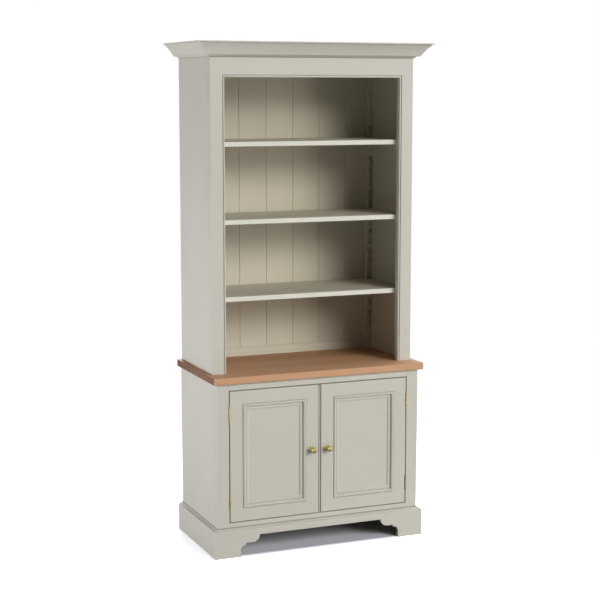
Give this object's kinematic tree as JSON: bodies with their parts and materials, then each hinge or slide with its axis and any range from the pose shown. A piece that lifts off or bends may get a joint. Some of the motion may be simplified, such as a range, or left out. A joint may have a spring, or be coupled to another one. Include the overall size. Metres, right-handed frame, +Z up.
{
  "type": "bookcase with cupboard doors",
  "caption": "Painted wooden bookcase: open rack of adjustable shelves with a moulded cornice, standing on an oak-topped cupboard with panelled doors and bracket feet.",
  "frame": {"origin": "on the floor, under the middle of the overall box (knobs and cornice included)", "axes": "+Z up, +X to the right as seen from the front, +Y to the back; the doors face -Y"},
  "size_m": [1.036, 0.498, 2.1],
  "materials": {
    "paint": "warm off-white satin paint over wood, with faint brush marks",
    "oak": "oiled oak, straight grain running left to right",
    "bare_wood": "unfinished planed softwood and beech",
    "brass": "satin aged brass",
    "steel": "zinc-plated steel",
    "catch_plastic": "off-white moulded plastic"
  },
  "bodies": {
    "root": {"back_boards": "paint", "base_back": "paint", "base_floor": "paint", "base_rail_bottom": "paint", "base_rail_top": "paint", "base_side_left": "paint", "base_side_right": "paint", "base_stile_left": "paint", "base_stile_right": "paint", "cornice_blocks": "bare_wood", "cornice_front": "paint", "cornice_left": "paint", "cornice_right": "paint", "door_catches": "catch_plastic", "frame_hinge_leaves": "brass", "frame_hinge_screws": "brass", "hinge_pins": "brass", "ladders_left": "paint", "ladders_right": "paint", "plinth_back": "bare_wood", "plinth_front": "paint", "plinth_left": "paint", "plinth_right": "paint", "rack_back_rail": "paint", "rack_bead": "paint", "rack_dowels": "bare_wood", "rack_rail_top": "paint", "rack_side_left": "paint", "rack_side_right": "paint", "rack_stile_left": "paint", "rack_stile_right": "paint", "rack_top": "paint", "shelf_bearers": "paint", "shelf_pegs": "steel", "top_stretchers": "bare_wood", "worktop": "oak", "worktop_screws": "steel"},
    "door_left": {"door_left_hinge_leaves": "brass", "door_left_hinge_screws": "brass", "door_left_knob": "brass", "door_left_knob_screw": "steel", "door_left_moulding": "paint", "door_left_panel": "paint", "door_left_rails": "paint", "door_left_stiles": "paint", "door_left_strike": "steel", "meeting_bead": "paint"},
    "door_right": {"door_right_hinge_leaves": "brass", "door_right_hinge_screws": "brass", "door_right_knob": "brass", "door_right_knob_screw": "steel", "door_right_moulding": "paint", "door_right_panel": "paint", "door_right_rails": "paint", "door_right_stiles": "paint", "door_right_strike": "steel"},
    "shelf_upper": {"shelf_upper": "paint"},
    "shelf_middle": {"shelf_middle": "paint"},
    "shelf_lower": {"shelf_lower": "paint"},
    "cupboard_shelf": {"cupboard_shelf": "paint"}
  },
  "joints": [
    {"name": "door_left_hinge", "type": "hinge", "parent": "root", "child": "door_left", "pos_m": [-0.401, -0.216, 0.42], "axis": [0, 0, 1], "range_deg": [-170, 0]},
    {"name": "door_right_hinge", "type": "hinge", "parent": "root", "child": "door_right", "pos_m": [0.401, -0.216, 0.42], "axis": [0, 0, 1], "range_deg": [0, 170]},
    {"name": "shelf_upper_lift", "type": "slide", "parent": "root", "child": "shelf_upper", "axis": [0, 0, 1], "range_m": [0, 0.045]},
    {"name": "shelf_middle_lift", "type": "slide", "parent": "root", "child": "shelf_middle", "axis": [0, 0, 1], "range_m": [0, 0.045]},
    {"name": "shelf_lower_lift", "type": "slide", "parent": "root", "child": "shelf_lower", "axis": [0, 0, 1], "range_m": [0, 0.045]},
    {"name": "cupboard_shelf_lift", "type": "slide", "parent": "root", "child": "cupboard_shelf", "axis": [0, 0, 1], "range_m": [0, 0.045]}
  ]
}
